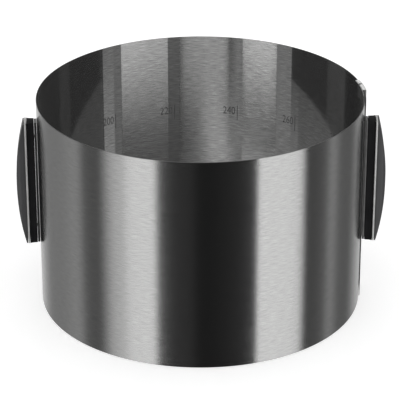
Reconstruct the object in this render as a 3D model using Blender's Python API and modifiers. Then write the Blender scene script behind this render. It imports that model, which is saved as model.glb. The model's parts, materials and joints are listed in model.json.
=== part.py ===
"""Adjustable cake ring: a coiled steel band, two grips on rails and two guide clips.

The band is one long strip of thin stainless sheet, coiled a little more than once round.
Its outer end lies at the right-hand grip, and its inner end slides along under it, held
by a folded clip at the top edge and one at the bottom edge. Pulling the grips apart or
pushing them together uncoils or coils the strip, so its whole length bends at once.
A rigid model can't bend, so the strip is cut into upright leaves with a hinge at each cut.

Metres, +Z up. The origin is the middle of the ring's outline, at the height it stands on.
"""
import math

import bmesh
import bpy
from mathutils import Matrix, Vector

# The band: its size when it stands at the last mark of its scale
inner_diameter = 0.300
band_height = 0.200
band_thickness = 0.0005
layer_step = 0.0011
overlap = 0.0230
tip_angle = math.radians(-4.4)
leaf_gap = 0.0003
leaves_between_grips = 16
leaves_past_left_grip = 15
spans_per_leaf = 6

# Room that is left where one piece lies on another, and how far a cutter overruns
seat_gap = 0.0003
cut_overrun = 0.0010

# Points closer than this are one point, and edges flatter than this stay smooth or unbevelled
weld_distance = 0.00001
smooth_angle = math.radians(35)
bevel_angle = math.radians(40)

# The grips: where they sit on the band
tip_to_grip = 0.0070
grip_to_grip_turn = math.radians(185.8)
grip_below_rim = 0.0207

# The black core, which gives the whole grip its height and width
core_height = 0.1210
core_depth = 0.0068
core_neck_width = 0.0125
core_face_width = 0.0165
core_edge = 0.0004
flare_spans = 6

# The rail under the core, which is welded to the band and a little smaller than the core's neck
rail_end_inset = 0.00025
rail_side_inset = 0.0005
rail_height = core_height - 2 * rail_end_inset
rail_width = core_neck_width - 2 * rail_side_inset
rail_thickness = 0.0020
rail_edge = 0.0003

# The bright trim plate between core and cap, which shows past the core all round
trim_end_overhang = 0.0005
trim_side_overhang = 0.0006
trim_height = core_height + 2 * trim_end_overhang
trim_width = core_face_width + 2 * trim_side_overhang
trim_thickness = 0.0016
trim_corner = 0.0025
trim_edge = 0.0003

# The bowed cap that the palm lies on, set back from the trim plate's edge
cap_end_inset = 0.0010
cap_side_inset = 0.0004
cap_height = trim_height - 2 * cap_end_inset
cap_width = trim_width - 2 * cap_side_inset
cap_bow = 0.0086
cap_end_thickness = 0.0010
cap_shoulder = 0.0045
bow_spans = 24
shoulder_spans = 5

# The pegs of the cap and the screws that hold the core to its rail
peg_radius = 0.0022
peg_length = 0.0060
peg_spacing = 0.0360
screw_spacing = 0.0900
screw_shank_radius = 0.0015
screw_head_radius = 0.0029
screw_head_height = 0.0018
screw_end_margin = 0.0003
round_steps = 20

# The guide clips on the band's inner end
clip_sheet = 0.0004
clip_slot = 0.0042
clip_radius = 0.1150
clip_reach = 0.0245
clip_weld_length = 0.0140
clip_tangent_back = 0.0040
clip_plate_height = 0.0120
clip_lip_height = 0.0108
clip_bend = 0.0006
clip_first_finger = 0.0087
clip_finger_gap = 0.0028
clip_spans = 18
bend_spans = 3

# Steps round the coil when the middle of its outline is looked for
outline_steps = 360

# Heights that follow from the sizes above: the bottom clip is the lowest piece
band_low = clip_sheet + seat_gap
band_top = band_low + band_height
band_middle = (band_low + band_top) / 2
grip_middle = band_top - grip_below_rim - core_height / 2

# The coil at rest: its radius falls evenly with each radian that the strip turns
radius_loss = layer_step / (2 * math.pi)
whole_turn = 2 * math.pi + overlap / (inner_diameter / 2)
first_radius = (inner_diameter + band_thickness) / 2 + radius_loss * (whole_turn - math.pi)


def clear_scene():
    for thing in list(bpy.data.objects):
        bpy.data.objects.remove(thing, do_unlink=True)


def new_collection(name):
    group = bpy.data.collections.new(name)
    bpy.context.scene.collection.children.link(group)
    return group


clear_scene()
PARTS = new_collection("adjustable_cake_ring")
CUTTERS = new_collection("cutters")


def new_material(name, colour, metallic, roughness):
    material = bpy.data.materials.new(name)
    material.use_nodes = True
    shader = material.node_tree.nodes["Principled BSDF"]
    shader.inputs["Base Color"].default_value = (*colour, 1)
    shader.inputs["Metallic"].default_value = metallic
    shader.inputs["Roughness"].default_value = roughness
    material.diffuse_color = (*colour, 1)
    return material


BAND_STEEL = new_material("band_steel", (0.56, 0.56, 0.55), 1, 0.32)
CLIP_STEEL = new_material("clip_steel", (0.62, 0.62, 0.61), 1, 0.25)
RAIL_STEEL = new_material("rail_steel", (0.45, 0.45, 0.45), 1, 0.40)
TRIM_STEEL = new_material("trim_steel", (0.70, 0.70, 0.69), 1, 0.22)
CORE_PLASTIC = new_material("core_plastic", (0.020, 0.020, 0.021), 0, 0.50)
CAP_PLASTIC = new_material("cap_plastic", (0.055, 0.055, 0.057), 0, 0.38)
SCREW_STEEL = new_material("screw_steel", (0.50, 0.50, 0.50), 1, 0.30)


# The strip's middle line, seen from above

def length_to(turn):
    """Length of strip from its outer tip to the place where it has turned so far."""
    return first_radius * turn - radius_loss * turn * turn / 2


def turn_at(length):
    return (first_radius - math.sqrt(first_radius ** 2 - 2 * radius_loss * length)) / radius_loss


def heading(turn):
    """Direction from the ring's axis that the strip faces at this turn."""
    return Vector((math.cos(tip_angle + turn), math.sin(tip_angle + turn)))


def strip_point(turn):
    """A point of the spiral whose radius of curvature falls evenly with the turn."""
    out = heading(turn)
    along = Vector((-out.y, out.x))
    return out * (first_radius - radius_loss * turn) - along * radius_loss


right_grip_turn = turn_at(tip_to_grip)
left_grip_turn = right_grip_turn + grip_to_grip_turn
strip_length = length_to(whole_turn)
front_pitch = (length_to(left_grip_turn) - tip_to_grip) / leaves_between_grips
past_left_grip = length_to(left_grip_turn) + front_pitch / 2
back_pitch = (strip_length - past_left_grip) / leaves_past_left_grip


def leaf_cuts():
    """Places along the strip where one leaf ends and the next begins, with both ends."""
    cuts = [0.0]
    for step in range(leaves_between_grips + 1):
        cuts.append(tip_to_grip + front_pitch * (step + 0.5))
    for step in range(leaves_past_left_grip):
        cuts.append(past_left_grip + back_pitch * (step + 1))
    return cuts


# The height of the grips' outermost point over the band's outer face
core_foot = seat_gap + rail_thickness + seat_gap
trim_foot = core_foot + core_depth + seat_gap
cap_foot = trim_foot + trim_thickness + seat_gap
grip_reach = cap_foot + cap_bow


def outline_middle():
    """Middle of the ring's outline from above, which the origin is put under."""
    outline = []
    for step in range(outline_steps + 1):
        turn = whole_turn * step / outline_steps
        outline.append(strip_point(turn) + heading(turn) * band_thickness / 2)
    for turn in (right_grip_turn, left_grip_turn):
        out = heading(turn)
        along = Vector((-out.y, out.x))
        crest = strip_point(turn) + out * (band_thickness / 2 + grip_reach)
        half_flat = cap_width / 2 - cap_shoulder
        outline.append(crest + along * half_flat)
        outline.append(crest - along * half_flat)
    across = [point.x for point in outline]
    deep = [point.y for point in outline]
    return Vector(((min(across) + max(across)) / 2, (min(deep) + max(deep)) / 2))


MIDDLE = outline_middle()


def on_floor(turn, height=0.0):
    point = strip_point(turn) - MIDDLE
    return Vector((point.x, point.y, height))


# Making and placing pieces

def link(thing, material, group=PARTS):
    group.objects.link(thing)
    if material is not None:
        thing.data.materials.append(material)
    return thing


def mesh_from_curve(curve_object):
    """The curve's own surface as a mesh object, with its caps welded on."""
    bpy.context.view_layer.update()
    graph = bpy.context.evaluated_depsgraph_get()
    mesh = bpy.data.meshes.new_from_object(curve_object.evaluated_get(graph))
    shape = bmesh.new()
    shape.from_mesh(mesh)
    bmesh.ops.remove_doubles(shape, verts=shape.verts, dist=weld_distance)
    bmesh.ops.recalc_face_normals(shape, faces=shape.faces)
    shape.to_mesh(mesh)
    shape.free()
    name = curve_object.name
    matrix = curve_object.matrix_world.copy()
    bpy.data.objects.remove(curve_object, do_unlink=True)
    made = bpy.data.objects.new(name, mesh)
    made.name = name
    made.matrix_world = matrix
    return made


def flat_curve(name, outline, half_depth, closed):
    """A flat outline in the curve's own X and Y, given depth along its own Z."""
    curve = bpy.data.curves.new(name, "CURVE")
    curve.dimensions = "2D"
    curve.fill_mode = "BOTH" if closed else "NONE"
    curve.extrude = half_depth
    line = curve.splines.new("POLY")
    line.points.add(len(outline) - 1)
    for point, place in zip(line.points, outline):
        point.co = (place[0], place[1], 0, 1)
    line.use_cyclic_u = closed
    thing = bpy.data.objects.new(name, curve)
    PARTS.objects.link(thing)
    return mesh_from_curve(thing)


def add_bevel(thing, width, segments=2):
    bevel = thing.modifiers.new("edges", "BEVEL")
    bevel.width = width
    bevel.segments = segments
    bevel.limit_method = "ANGLE"
    bevel.angle_limit = bevel_angle


def add_boolean(thing, tool, operation="DIFFERENCE"):
    cut = thing.modifiers.new(tool.name, "BOOLEAN")
    cut.solver = "EXACT"
    cut.operation = operation
    cut.object = tool
    tool.hide_render = True
    tool.display_type = "WIRE"


def shade_round(thing):
    thing.data.shade_smooth()
    thing.data.set_sharp_from_angle(angle=smooth_angle)


def turned(name, profile, material, group=PARTS):
    """A turned piece round its own X axis: profile points are (place along X, radius)."""
    mesh = bpy.data.meshes.new(name)
    points = [(radius, 0, along) for along, radius in profile]
    edges = [(step, step + 1) for step in range(len(profile) - 1)]
    mesh.from_pydata(points, edges, [])
    thing = link(bpy.data.objects.new(name, mesh), material, group)
    screw = thing.modifiers.new("turn", "SCREW")
    screw.steps = round_steps
    screw.render_steps = round_steps
    screw.use_merge_vertices = True
    screw.merge_threshold = weld_distance
    return thing


def frame_at(turn, height):
    """Axes on the band's outer face: X away from the ring, Y along the strip, Z up."""
    out = heading(turn)
    place = on_floor(turn, height) + Vector((out.x, out.y, 0)) * band_thickness / 2
    return Matrix.Translation(place) @ Matrix.Rotation(tip_angle + turn, 4, "Z")


X_AS_AXIS = Matrix.Rotation(math.pi / 2, 4, "Y")


# The joints: an empty at each cut of the strip, each hung on the one before it

def hang_pivots():
    """One empty for each leaf, on the hinge towards the leaf under the left grip."""
    cuts = leaf_cuts()
    places = {}
    pivots = {}
    root = leaves_between_grips
    order = [root]
    order += range(root + 1, len(cuts) - 1)
    order += range(root - 1, -1, -1)
    for leaf in order:
        if leaf == root:
            place = Vector((0, 0, 0))
            parent = None
        elif leaf > root:
            place = on_floor(turn_at(cuts[leaf]))
            parent = leaf - 1
        else:
            place = on_floor(turn_at(cuts[leaf + 1]))
            parent = leaf + 1
        pivot = bpy.data.objects.new("bend_%02d" % (leaf + 1), None)
        pivot.empty_display_size = rail_width
        PARTS.objects.link(pivot)
        if parent is not None:
            pivot.parent = pivots[parent]
            pivot.location = place - places[parent]
        places[leaf] = place
        pivots[leaf] = pivot
    return pivots, places


PIVOTS, PIVOT_PLACES = hang_pivots()


def hang(thing, leaf, matrix):
    """Hangs a piece on its leaf's joint and puts it at the given place in the ring."""
    thing.parent = PIVOTS[leaf]
    thing.matrix_parent_inverse = Matrix.Translation(-PIVOT_PLACES[leaf])
    thing.matrix_basis = matrix
    return thing


# The band

def make_leaves():
    """The strip as upright leaves, each bent to the coil's own curve."""
    cuts = leaf_cuts()
    last = len(cuts) - 2
    for leaf in range(len(cuts) - 1):
        start = cuts[leaf] + (leaf_gap / 2 if leaf > 0 else 0)
        end = cuts[leaf + 1] - (leaf_gap / 2 if leaf < last else 0)
        pivot = PIVOT_PLACES[leaf]
        outline = []
        for step in range(spans_per_leaf + 1):
            turn = turn_at(start + (end - start) * step / spans_per_leaf)
            outline.append(on_floor(turn) - pivot)
        sheet = flat_curve("band_leaf_%02d" % (leaf + 1), outline, band_height / 2, closed=False)
        link(sheet, BAND_STEEL)
        wall = sheet.modifiers.new("sheet", "SOLIDIFY")
        wall.thickness = band_thickness
        wall.offset = 0
        wall.use_even_offset = True
        shade_round(sheet)
        hang(sheet, leaf, Matrix.Translation(pivot + Vector((0, 0, band_middle))))


# The grips

def rail_section():
    """The rail from above: flat outside, hollow inside to lie round the band."""
    back_radius = first_radius + band_thickness / 2 + seat_gap
    half = rail_width / 2
    section = []
    for step in range(flare_spans + 1):
        across = half - rail_width * step / flare_spans
        sink = back_radius - math.sqrt(back_radius ** 2 - across ** 2)
        section.append((seat_gap - sink, across))
    section.append((seat_gap + rail_thickness, -half))
    section.append((seat_gap + rail_thickness, half))
    return section


def core_section():
    """The core from above: narrow at the rail, with hollow flanks out to the trim plate."""
    neck = core_neck_width / 2
    flare = core_face_width / 2 - neck
    flank = []
    for step in range(flare_spans + 1):
        angle = math.pi / 2 * step / flare_spans
        flank.append((core_foot + core_depth * math.sin(angle), neck + flare * (1 - math.cos(angle))))
    mirrored = [(out, -across) for out, across in reversed(flank)]
    return flank + mirrored


def rounded_box(width, height, corner, spans):
    """Outline of a plate with round corners, seen square on."""
    outline = []
    for quarter in range(4):
        sign_x = 1 if quarter in (0, 3) else -1
        sign_y = 1 if quarter in (0, 1) else -1
        centre = (sign_x * (width / 2 - corner), sign_y * (height / 2 - corner))
        for step in range(spans + 1):
            angle = math.pi / 2 * (quarter + step / spans)
            outline.append((centre[0] + corner * math.cos(angle), centre[1] + corner * math.sin(angle)))
    return outline


def cap_side_outline():
    """The cap from the side, as (place along the grip, height over its foot)."""
    half = cap_height / 2
    rise = cap_bow - cap_end_thickness
    bow_radius = (half ** 2 + rise ** 2) / (2 * rise)
    outline = [(half, 0), (-half, 0)]
    for step in range(bow_spans + 1):
        along = -half + cap_height * step / bow_spans
        outline.append((along, cap_bow - bow_radius + math.sqrt(bow_radius ** 2 - along ** 2)))
    return outline


def cap_end_outline():
    """The cap from its end, as (height over its foot, place across), with round shoulders."""
    half = cap_width / 2
    outline = [(0, -half)]
    for step in range(shoulder_spans + 1):
        angle = math.pi / 2 * step / shoulder_spans
        height = cap_bow + cut_overrun - cap_shoulder * (1 - math.sin(angle))
        across = half - cap_shoulder * (1 - math.cos(angle))
        outline.append((height, -across))
    outline += [(height, -across) for height, across in reversed(outline)]
    return outline


def grip_holes(name, radius, start, end, spacing):
    """A pair of round cutters along X, one above and one below the grip's middle."""
    shape = bmesh.new()
    for side in (-1, 1):
        place = Matrix.Translation(((start + end) / 2, 0, side * spacing / 2)) @ X_AS_AXIS
        bmesh.ops.create_cone(shape, cap_ends=True, segments=round_steps, radius1=radius, radius2=radius,
                              depth=end - start, matrix=place)
    mesh = bpy.data.meshes.new(name)
    shape.to_mesh(mesh)
    shape.free()
    return link(bpy.data.objects.new(name, mesh), None, CUTTERS)


def screw_profile(head_foot):
    """Half of a pan-head screw along the grip's outward axis, from its crown to its end."""
    crown = head_foot + screw_head_height
    tip = seat_gap + screw_end_margin
    return [
        (crown, 0),
        (crown, screw_head_radius - screw_head_height / 2),
        (head_foot + screw_head_height / 2, screw_head_radius),
        (head_foot, screw_head_radius),
        (head_foot, screw_shank_radius),
        (tip, screw_shank_radius),
        (tip, 0),
    ]


def make_grip(side, leaf, turn):
    """Rail, core, trim plate, cap and screws of one grip, built round its own middle."""
    frame = frame_at(turn, grip_middle)
    upright = frame
    # A flat outline across the grip stands with its own Y up and its own Z outwards
    facing = frame @ Matrix(((0, 0, 1, 0), (1, 0, 0, 0), (0, 1, 0, 0), (0, 0, 0, 1)))
    sideways = frame @ Matrix(((0, 1, 0, 0), (0, 0, 1, 0), (1, 0, 0, 0), (0, 0, 0, 1)))

    rail = link(flat_curve(side + "_rail", rail_section(), rail_height / 2, closed=True), RAIL_STEEL)
    hang(rail, leaf, upright)
    core = link(flat_curve(side + "_grip_core", core_section(), core_height / 2, closed=True), CORE_PLASTIC)
    hang(core, leaf, upright)
    trim_outline = rounded_box(trim_width, trim_height, trim_corner, shoulder_spans)
    trim = link(flat_curve(side + "_trim_plate", trim_outline, trim_thickness / 2, closed=True), TRIM_STEEL)
    hang(trim, leaf, facing @ Matrix.Translation((0, 0, trim_foot + trim_thickness / 2)))
    cap = link(flat_curve(side + "_grip_cap", cap_side_outline(), cap_width / 2, closed=True), CAP_PLASTIC)
    hang(cap, leaf, sideways @ Matrix.Translation((0, cap_foot, 0)))

    head_foot = core_foot + core_depth - seat_gap - screw_head_height
    for level, height in (("upper", screw_spacing / 2), ("lower", -screw_spacing / 2)):
        screw = turned("%s_%s_screw" % (side, level), screw_profile(head_foot), SCREW_STEEL)
        hang(screw, leaf, upright @ Matrix.Translation((0, 0, height)) @ X_AS_AXIS)
        shade_round(screw)

    past_ends = cap_height / 2 + cut_overrun
    shoulders = flat_curve(side + "_cap_shoulders", cap_end_outline(), past_ends, closed=True)
    link(shoulders, None, CUTTERS)
    hang(shoulders, leaf, upright @ Matrix.Translation((cap_foot, 0, 0)))
    add_boolean(cap, shoulders, "INTERSECT")

    peg_start = cap_foot - peg_length
    pegs = grip_holes(side + "_pegs", peg_radius, peg_start, cap_foot + cap_end_thickness, peg_spacing)
    peg_holes = grip_holes(side + "_peg_holes", peg_radius + seat_gap, peg_start - seat_gap,
                           cap_foot, peg_spacing)
    shank_holes = grip_holes(side + "_shank_holes", screw_shank_radius + seat_gap, -cut_overrun,
                             core_foot + core_depth + cut_overrun, screw_spacing)
    head_holes = grip_holes(side + "_head_holes", screw_head_radius + seat_gap, head_foot - seat_gap,
                            core_foot + core_depth + cut_overrun, screw_spacing)
    for tool in (pegs, peg_holes, shank_holes, head_holes):
        hang(tool, leaf, upright)
    add_boolean(cap, pegs, "UNION")
    add_bevel(rail, rail_edge)
    add_boolean(rail, shank_holes)
    add_bevel(core, core_edge)
    add_boolean(core, shank_holes)
    add_boolean(core, head_holes)
    add_boolean(core, peg_holes)
    add_bevel(trim, trim_edge)
    add_boolean(trim, peg_holes)
    for piece in (rail, core, trim, cap):
        shade_round(piece)


# The guide clips

def clip_profile():
    """Middle line of the folded sheet, as (radius, height over the band's edge)."""
    plate = clip_radius - clip_sheet / 2
    lip = clip_radius + clip_slot + clip_sheet / 2
    crown = seat_gap + clip_sheet / 2
    bend_height = crown - clip_bend
    profile = [(plate, -clip_plate_height)]
    for bend_middle, start in ((plate + clip_bend, math.pi), (lip - clip_bend, math.pi / 2)):
        for step in range(bend_spans + 1):
            angle = start - math.pi / 2 * step / bend_spans
            across = bend_middle + clip_bend * math.cos(angle)
            profile.append((across, bend_height + clip_bend * math.sin(angle)))
    profile.append((lip, -clip_lip_height))
    return profile


def clip_frame():
    """Axes of the clips' own circle: its middle, with X towards the welded place."""
    turn = turn_at(strip_length - clip_tangent_back)
    out = heading(turn)
    shift = band_thickness / 2 + seat_gap + clip_radius
    place = on_floor(turn) - Vector((out.x, out.y, 0)) * shift
    return Matrix.Translation(place) @ Matrix.Rotation(tip_angle + turn, 4, "Z")


def clip_cutter(name, start, end, up, edge):
    """An angled block that takes the folded edge and the lip off between two places."""
    inner = clip_radius - clip_sheet - cut_overrun
    slot_middle = clip_radius + clip_slot / 2
    outer = clip_radius + clip_slot + clip_sheet + cut_overrun
    top = seat_gap + clip_sheet + cut_overrun
    low = -clip_lip_height - cut_overrun
    outline = [
        (inner, 0),
        (inner, up * top),
        (outer, up * top),
        (outer, up * low),
        (slot_middle, up * low),
        (slot_middle, 0),
    ]
    block = flat_curve(name, outline, (end - start) / 2, closed=True)
    link(block, None, CUTTERS)
    angle = (start + end) / 2 / clip_radius
    across = Matrix(((1, 0, 0, 0), (0, 0, -1, 0), (0, 1, 0, edge), (0, 0, 0, 1)))
    return block, Matrix.Rotation(angle, 4, "Z") @ across


def make_clip(name, up, edge, leaf):
    """One folded clip: a plate welded inside the band's end, with two hooked fingers past it."""
    frame = clip_frame()
    start = clip_tangent_back - clip_weld_length
    end = clip_tangent_back + clip_reach
    mesh = bpy.data.meshes.new(name)
    profile = clip_profile()
    turn_start = Matrix.Rotation(start / clip_radius, 4, "Z")
    points = [turn_start @ Vector((radius, 0, edge + up * height)) for radius, height in profile]
    mesh.from_pydata(points, [(step, step + 1) for step in range(len(points) - 1)], [])
    clip = link(bpy.data.objects.new(name, mesh), CLIP_STEEL)
    hang(clip, leaf, frame)
    sweep = clip.modifiers.new("sweep", "SCREW")
    sweep.angle = (end - start) / clip_radius
    sweep.steps = clip_spans
    sweep.render_steps = clip_spans
    sweep.use_merge_vertices = False
    sheet = clip.modifiers.new("sheet", "SOLIDIFY")
    sheet.thickness = clip_sheet
    sheet.offset = 0
    sheet.use_even_offset = True
    first_start = end - clip_first_finger
    places = ((start - cut_overrun, clip_tangent_back), (first_start - clip_finger_gap, first_start))
    for number, (low, high) in enumerate(places):
        block, place = clip_cutter("%s_cut_%d" % (name, number + 1), low, high, up, edge)
        hang(block, leaf, frame @ place)
        add_boolean(clip, block)
    shade_round(clip)


make_leaves()
make_grip("right", 0, right_grip_turn)
make_grip("left", leaves_between_grips, left_grip_turn)
inner_leaf = leaves_between_grips + leaves_past_left_grip
make_clip("top_guide_clip", 1, band_top, inner_leaf)
make_clip("bottom_guide_clip", -1, band_low, inner_leaf)
bpy.context.view_layer.update()
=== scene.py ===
"""Looks of the adjustable cake ring: a coiled steel band, two grips on rails and two guide clips.

Metres, +Z up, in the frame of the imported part. The sections follow the ring as it is put together:
the band, its scale, the guide clips, the rails, the screws, the cores, the trim plates and the caps.
The table, the studio and the camera come last.
"""
import json
import math

import bpy
from mathutils import Matrix, Vector


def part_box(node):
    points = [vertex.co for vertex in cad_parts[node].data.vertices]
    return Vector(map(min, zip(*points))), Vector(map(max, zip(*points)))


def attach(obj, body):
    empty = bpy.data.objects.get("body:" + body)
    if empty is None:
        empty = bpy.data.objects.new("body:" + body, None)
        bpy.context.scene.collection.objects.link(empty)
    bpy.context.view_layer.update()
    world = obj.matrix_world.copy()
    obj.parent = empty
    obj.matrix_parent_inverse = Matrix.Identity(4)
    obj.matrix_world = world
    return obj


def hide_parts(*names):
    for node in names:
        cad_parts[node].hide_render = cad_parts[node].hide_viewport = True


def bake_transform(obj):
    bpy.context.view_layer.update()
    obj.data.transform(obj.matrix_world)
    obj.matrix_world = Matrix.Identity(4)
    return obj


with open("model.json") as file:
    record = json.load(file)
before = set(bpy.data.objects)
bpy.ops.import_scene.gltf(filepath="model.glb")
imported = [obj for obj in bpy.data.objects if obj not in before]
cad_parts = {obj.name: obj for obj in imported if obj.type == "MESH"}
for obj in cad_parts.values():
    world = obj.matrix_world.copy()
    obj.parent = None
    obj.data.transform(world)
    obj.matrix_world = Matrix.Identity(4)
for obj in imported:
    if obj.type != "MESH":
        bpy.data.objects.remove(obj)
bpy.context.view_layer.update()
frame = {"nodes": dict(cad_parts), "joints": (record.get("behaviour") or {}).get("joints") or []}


# The band
# One strip of stainless sheet, 0.5 mm thick, slit to height, brushed along its length and coiled a little
# more than once round. Here it is one skin from mid-leaf to mid-leaf, bent to the coil's own curve.

inner_diameter = 0.300
sheet_thickness = 0.0005
layer_step = 0.0011
overlap = 0.0230
tip_angle = math.radians(-4.4)
tip_to_grip = 0.0070
grip_to_grip_turn = math.radians(185.8)
leaves_between_grips = 16
leaves_past_left_grip = 15
sheet_edge = 0.00012
sheet_spans = 32
sheet_rings = 4
longest_across_rim = 1.2 * sheet_thickness
edge_segments = 3
outer_slot = 0
rim_slot = 1
inner_slot = 2

band_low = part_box("band_leaf_24")[0].z
band_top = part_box("band_leaf_24")[1].z
band_middle = (band_low + band_top) / 2

radius_loss = layer_step / (2 * math.pi)
whole_turn = 2 * math.pi + overlap / (inner_diameter / 2)
first_radius = (inner_diameter + sheet_thickness) / 2 + radius_loss * (whole_turn - math.pi)


def length_to(turn):
    """Length of strip from its outer tip to the place where it has turned so far."""
    return first_radius * turn - radius_loss * turn * turn / 2


def turn_at(length):
    """How far the strip has turned at a length from its outer tip."""
    return (first_radius - math.sqrt(first_radius ** 2 - 2 * radius_loss * length)) / radius_loss


def heading(turn):
    """The way straight out of the coil at a turn."""
    return Vector((math.cos(tip_angle + turn), math.sin(tip_angle + turn), 0))


def coil_point(turn):
    """A point of the sheet's middle, before the ring is centred."""
    out = heading(turn)
    along = Vector((-out.y, out.x, 0))
    return out * (first_radius - radius_loss * turn) - along * radius_loss


left_grip_length = length_to(turn_at(tip_to_grip) + grip_to_grip_turn)
strip_length = length_to(whole_turn)
front_pitch = (left_grip_length - tip_to_grip) / leaves_between_grips
past_left_grip = left_grip_length + front_pitch / 2
back_pitch = (strip_length - past_left_grip) / leaves_past_left_grip

hinge_lengths = [tip_to_grip + front_pitch * (step + 0.5) for step in range(leaves_between_grips + 1)]
hinge_lengths += [past_left_grip + back_pitch * (step + 1) for step in range(leaves_past_left_grip - 1)]

# The joints' own places say where the ring's middle was put
first_hinge = next(joint for joint in frame["joints"] if joint["child"] == "leaf_18")
centring = Vector(first_hinge["pos_m"]) - coil_point(turn_at(hinge_lengths[leaves_between_grips]))
centring.z = 0


def on_band(length, across=0.0, height=0.0):
    """A place on the sheet: length along it, then out from its middle, then up."""
    turn = turn_at(length)
    return coil_point(turn) + centring + heading(turn) * across + Vector((0, 0, height))


def deselect_all():
    for thing in list(bpy.context.selected_objects):
        thing.select_set(False)


def apply_modifiers(thing):
    bpy.context.view_layer.objects.active = thing
    for modifier in list(thing.modifiers):
        bpy.ops.object.modifier_apply(modifier=modifier.name)


def brushed_grain():
    """Brush lines that run along X of the given place: a fine mask and a height for the bump."""
    group = bpy.data.node_groups.new("brushed_grain", "ShaderNodeTree")
    face = group.interface
    face.new_socket("Place", in_out="INPUT", socket_type="NodeSocketVector")
    face.new_socket("Line length", in_out="INPUT", socket_type="NodeSocketFloat")
    face.new_socket("Line width", in_out="INPUT", socket_type="NodeSocketFloat")
    face.new_socket("Lines", in_out="OUTPUT", socket_type="NodeSocketFloat")
    face.new_socket("Streaks", in_out="OUTPUT", socket_type="NodeSocketFloat")
    face.new_socket("Cloud", in_out="OUTPUT", socket_type="NodeSocketFloat")
    nodes = group.nodes
    link = group.links.new
    given = nodes.new("NodeGroupInput")
    made = nodes.new("NodeGroupOutput")
    size = nodes.new("ShaderNodeCombineXYZ")
    size.inputs["Z"].default_value = 1
    link(given.outputs["Line length"], size.inputs["X"])
    link(given.outputs["Line width"], size.inputs["Y"])
    scaled = nodes.new("ShaderNodeVectorMath")
    scaled.operation = "DIVIDE"
    link(given.outputs["Place"], scaled.inputs[0])
    link(size.outputs["Vector"], scaled.inputs[1])
    lines = nodes.new("ShaderNodeTexNoise")
    lines.noise_dimensions = "2D"
    lines.inputs["Scale"].default_value = 1
    lines.inputs["Detail"].default_value = 3
    lines.inputs["Roughness"].default_value = 0.65
    link(scaled.outputs["Vector"], lines.inputs["Vector"])
    link(lines.outputs["Fac"], made.inputs["Lines"])
    coarse = nodes.new("ShaderNodeVectorMath")
    coarse.operation = "MULTIPLY"
    coarse.inputs[1].default_value = (0.9, 0.30, 1)
    link(scaled.outputs["Vector"], coarse.inputs[0])
    streaks = nodes.new("ShaderNodeTexNoise")
    streaks.noise_dimensions = "2D"
    streaks.inputs["Scale"].default_value = 1
    streaks.inputs["Detail"].default_value = 2
    link(coarse.outputs["Vector"], streaks.inputs["Vector"])
    link(streaks.outputs["Fac"], made.inputs["Streaks"])
    wide = nodes.new("ShaderNodeVectorMath")
    wide.operation = "SCALE"
    wide.inputs["Scale"].default_value = 0.11
    link(scaled.outputs["Vector"], wide.inputs[0])
    cloud = nodes.new("ShaderNodeTexNoise")
    cloud.noise_dimensions = "2D"
    cloud.inputs["Scale"].default_value = 1
    cloud.inputs["Detail"].default_value = 2
    link(wide.outputs["Vector"], cloud.inputs["Vector"])
    link(cloud.outputs["Fac"], made.inputs["Cloud"])
    return group


grain_group = brushed_grain()


def brushed_material(name, colour, metal, roughness, line_length, line_width, line_depth,
                     stretch, uneven, place):
    """Brushed steel: a metal whose tone and roughness follow its brush lines.

    stretch is how far the lines draw out the shine, and uneven is how far their tone departs from the
    plain colour. place is UV for a piece that is unrolled in metres, or else the axis that its brush
    lines run along.
    """
    material = bpy.data.materials.new(name)
    material.use_nodes = True
    nodes = material.node_tree.nodes
    link = material.node_tree.links.new
    shader = nodes["Principled BSDF"]
    shader.inputs["Metallic"].default_value = metal
    shader.inputs["Anisotropic"].default_value = stretch
    shader.inputs["Anisotropic Rotation"].default_value = 0.25 if place == "UV" else 0.0
    grain = nodes.new("ShaderNodeGroup")
    grain.node_tree = grain_group
    grain.inputs["Line length"].default_value = line_length
    grain.inputs["Line width"].default_value = line_width
    tangent = nodes.new("ShaderNodeTangent")
    if place == "UV":
        where = nodes.new("ShaderNodeUVMap")
        where.uv_map = "unrolled"
        link(where.outputs["UV"], grain.inputs["Place"])
        tangent.direction_type = "UV_MAP"
        tangent.uv_map = "unrolled"
    else:
        where = nodes.new("ShaderNodeTexCoord")
        turned = nodes.new("ShaderNodeMapping")
        turned.inputs["Rotation"].default_value = (0, math.pi / 2, 0) if place == "Z" else (0, 0, 0)
        link(where.outputs["Object"], turned.inputs["Vector"])
        link(turned.outputs["Vector"], grain.inputs["Place"])
        tangent.direction_type = "RADIAL"
        tangent.axis = place
    link(tangent.outputs["Tangent"], shader.inputs["Tangent"])
    both = nodes.new("ShaderNodeMath")
    both.operation = "ADD"
    link(grain.outputs["Lines"], both.inputs[0])
    link(grain.outputs["Streaks"], both.inputs[1])
    tone = nodes.new("ShaderNodeMapRange")
    tone.inputs["From Min"].default_value = 0.6
    tone.inputs["From Max"].default_value = 1.4
    tone.inputs["To Min"].default_value = 1 - uneven
    tone.inputs["To Max"].default_value = 1 + uneven
    link(both.outputs["Value"], tone.inputs["Value"])
    tinted = nodes.new("ShaderNodeVectorMath")
    tinted.operation = "SCALE"
    tinted.inputs[0].default_value = colour
    link(tone.outputs["Result"], tinted.inputs["Scale"])
    link(tinted.outputs["Vector"], shader.inputs["Base Color"])
    rough = nodes.new("ShaderNodeMapRange")
    rough.inputs["To Min"].default_value = roughness * 0.8
    rough.inputs["To Max"].default_value = roughness * 1.2
    link(grain.outputs["Cloud"], rough.inputs["Value"])
    link(rough.outputs["Result"], shader.inputs["Roughness"])
    bump = nodes.new("ShaderNodeBump")
    bump.inputs["Strength"].default_value = 1
    bump.inputs["Distance"].default_value = line_depth
    link(grain.outputs["Lines"], bump.inputs["Height"])
    link(bump.outputs["Normal"], shader.inputs["Normal"])
    return material


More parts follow.
